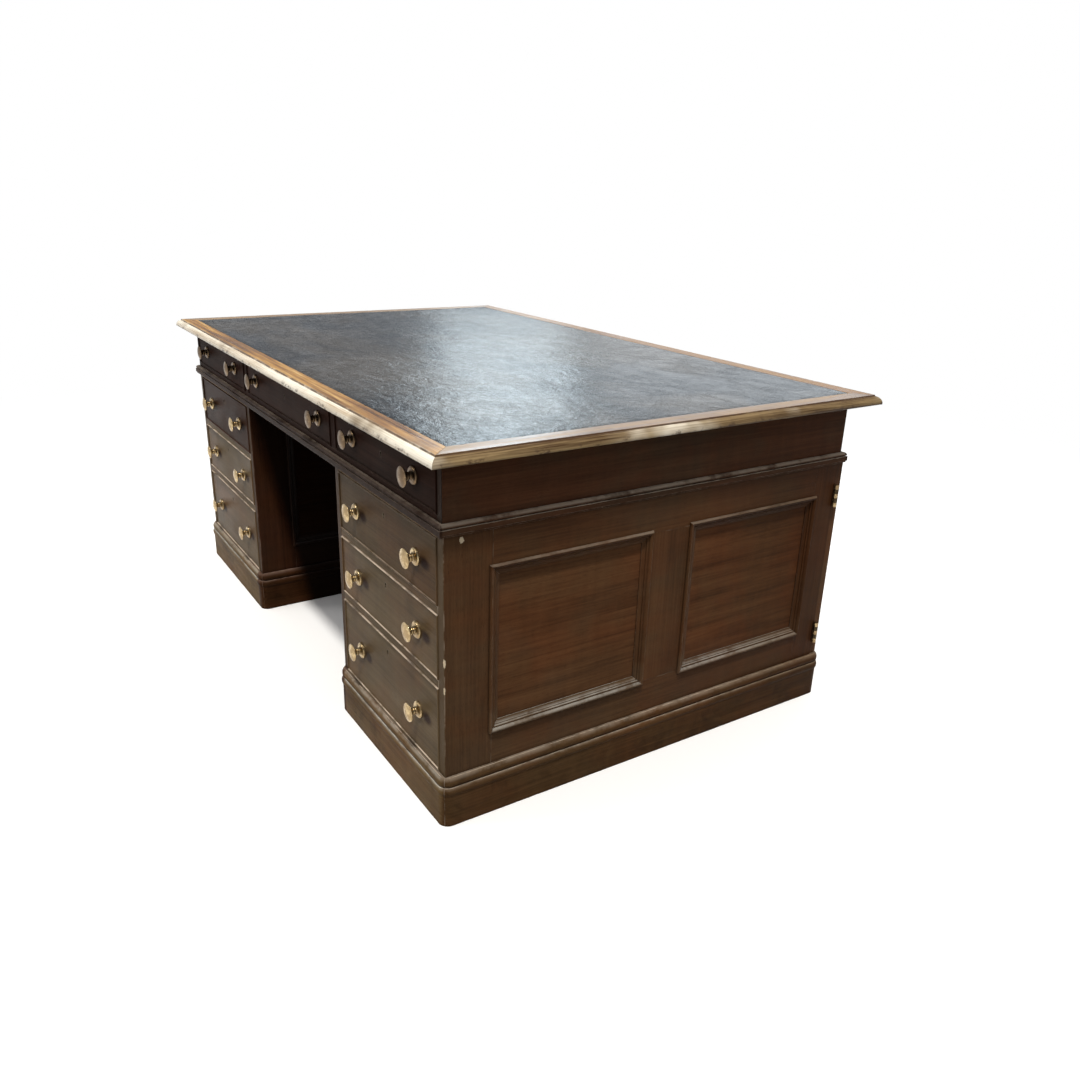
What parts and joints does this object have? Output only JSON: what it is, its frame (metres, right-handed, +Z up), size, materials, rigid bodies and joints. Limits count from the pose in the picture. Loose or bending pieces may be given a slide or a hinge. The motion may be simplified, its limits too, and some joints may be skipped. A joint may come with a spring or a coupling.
{
  "type": "partners desk",
  "caption": "Mahogany pedestal desk with a leather writing surface, drawers on both long sides, cupboards behind the drawer pedestals and turned brass knobs.",
  "frame": {"origin": "on the floor, under the middle of the top", "axes": "+X along the desk to the right of someone sitting at the drawer side, -Y towards that person, +Z up"},
  "size_m": [1.778, 1.13, 0.775],
  "materials": {
    "carcase_wood": "bare deal and oak",
    "leather": "worn hide, semi-gloss",
    "border_wood": "worn mahogany, polish rubbed through",
    "frieze_mahogany": "dark polished mahogany",
    "frieze_front_mahogany": "dark polished mahogany",
    "moulding_mahogany": "polished mahogany, worn on its edges",
    "side_mahogany": "polished red-brown mahogany",
    "panel_mahogany": "figured red-brown mahogany",
    "front_mahogany": "polished brown mahogany",
    "door_mahogany": "polished brown mahogany",
    "plinth_mahogany": "scuffed brown mahogany",
    "lining_wood": "bare oak drawer lining",
    "brass": "aged, rubbed bright on the high places"
  },
  "bodies": {
    "desk": {"top_board": "carcase_wood", "writing_leather": "leather", "top_border": "border_wood", "frieze_ends": "frieze_mahogany", "frieze_framing": "frieze_mahogany", "waist_moulding": "moulding_mahogany", "side_frames": "side_mahogany", "side_panels": "panel_mahogany", "side_mouldings": "side_mahogany", "drawer_blades": "front_mahogany", "pedestal_boards": "carcase_wood", "shelves": "carcase_wood", "plinths": "plinth_mahogany", "hinge_leaves": "brass", "dustboards": "carcase_wood", "drawer_stops": "carcase_wood"},
    "left_bottom_drawer": {"left_bottom_drawer_front": "front_mahogany", "left_bottom_drawer_box": "lining_wood", "left_bottom_drawer_brass": "brass"},
    "left_middle_drawer": {"left_middle_drawer_front": "front_mahogany", "left_middle_drawer_box": "lining_wood", "left_middle_drawer_brass": "brass"},
    "left_top_drawer": {"left_top_drawer_front": "front_mahogany", "left_top_drawer_box": "lining_wood", "left_top_drawer_brass": "brass"},
    "right_bottom_drawer": {"right_bottom_drawer_front": "front_mahogany", "right_bottom_drawer_box": "lining_wood", "right_bottom_drawer_brass": "brass"},
    "right_middle_drawer": {"right_middle_drawer_front": "front_mahogany", "right_middle_drawer_box": "lining_wood", "right_middle_drawer_brass": "brass"},
    "right_top_drawer": {"right_top_drawer_front": "front_mahogany", "right_top_drawer_box": "lining_wood", "right_top_drawer_brass": "brass"},
    "frieze_left_drawer": {"frieze_left_drawer_front": "frieze_front_mahogany", "frieze_left_drawer_box": "lining_wood", "frieze_left_drawer_brass": "brass"},
    "frieze_middle_drawer": {"frieze_middle_drawer_front": "frieze_front_mahogany", "frieze_middle_drawer_box": "lining_wood", "frieze_middle_drawer_brass": "brass"},
    "frieze_right_drawer": {"frieze_right_drawer_front": "frieze_front_mahogany", "frieze_right_drawer_box": "lining_wood", "frieze_right_drawer_brass": "brass"},
    "back_left_drawer": {"back_left_drawer_front": "frieze_front_mahogany", "back_left_drawer_box": "lining_wood", "back_left_drawer_brass": "brass"},
    "back_middle_drawer": {"back_middle_drawer_front": "frieze_front_mahogany", "back_middle_drawer_box": "lining_wood", "back_middle_drawer_brass": "brass"},
    "back_right_drawer": {"back_right_drawer_front": "frieze_front_mahogany", "back_right_drawer_box": "lining_wood", "back_right_drawer_brass": "brass"},
    "left_door": {"left_door_frame": "door_mahogany", "left_door_panel": "panel_mahogany", "left_door_moulding": "door_mahogany", "left_door_brass": "brass"},
    "right_door": {"right_door_frame": "door_mahogany", "right_door_panel": "panel_mahogany", "right_door_moulding": "door_mahogany", "right_door_brass": "brass"}
  },
  "joints": [
    {"name": "left_bottom_drawer_slide", "type": "slide", "parent": "desk", "child": "left_bottom_drawer", "axis": [0, -1, 0], "range_m": [0, 0.4]},
    {"name": "left_middle_drawer_slide", "type": "slide", "parent": "desk", "child": "left_middle_drawer", "axis": [0, -1, 0], "range_m": [0, 0.4]},
    {"name": "left_top_drawer_slide", "type": "slide", "parent": "desk", "child": "left_top_drawer", "axis": [0, -1, 0], "range_m": [0, 0.4]},
    {"name": "right_bottom_drawer_slide", "type": "slide", "parent": "desk", "child": "right_bottom_drawer", "axis": [0, -1, 0], "range_m": [0, 0.4]},
    {"name": "right_middle_drawer_slide", "type": "slide", "parent": "desk", "child": "right_middle_drawer", "axis": [0, -1, 0], "range_m": [0, 0.4]},
    {"name": "right_top_drawer_slide", "type": "slide", "parent": "desk", "child": "right_top_drawer", "axis": [0, -1, 0], "range_m": [0, 0.4]},
    {"name": "frieze_left_drawer_slide", "type": "slide", "parent": "desk", "child": "frieze_left_drawer", "axis": [0, -1, 0], "range_m": [0, 0.4]},
    {"name": "frieze_middle_drawer_slide", "type": "slide", "parent": "desk", "child": "frieze_middle_drawer", "axis": [0, -1, 0], "range_m": [0, 0.4]},
    {"name": "frieze_right_drawer_slide", "type": "slide", "parent": "desk", "child": "frieze_right_drawer", "axis": [0, -1, 0], "range_m": [0, 0.4]},
    {"name": "back_left_drawer_slide", "type": "slide", "parent": "desk", "child": "back_left_drawer", "axis": [0, 1, 0], "range_m": [0, 0.4]},
    {"name": "back_middle_drawer_slide", "type": "slide", "parent": "desk", "child": "back_middle_drawer", "axis": [0, 1, 0], "range_m": [0, 0.4]},
    {"name": "back_right_drawer_slide", "type": "slide", "parent": "desk", "child": "back_right_drawer", "axis": [0, 1, 0], "range_m": [0, 0.4]},
    {"name": "left_door_hinge", "type": "hinge", "parent": "desk", "child": "left_door", "pos_m": [-0.8415, 0.5105, 0.36125], "axis": [0, 0, 1], "range_deg": [0, 180]},
    {"name": "right_door_hinge", "type": "hinge", "parent": "desk", "child": "right_door", "pos_m": [0.8415, 0.5105, 0.36125], "axis": [0, 0, -1], "range_deg": [0, 180]}
  ]
}
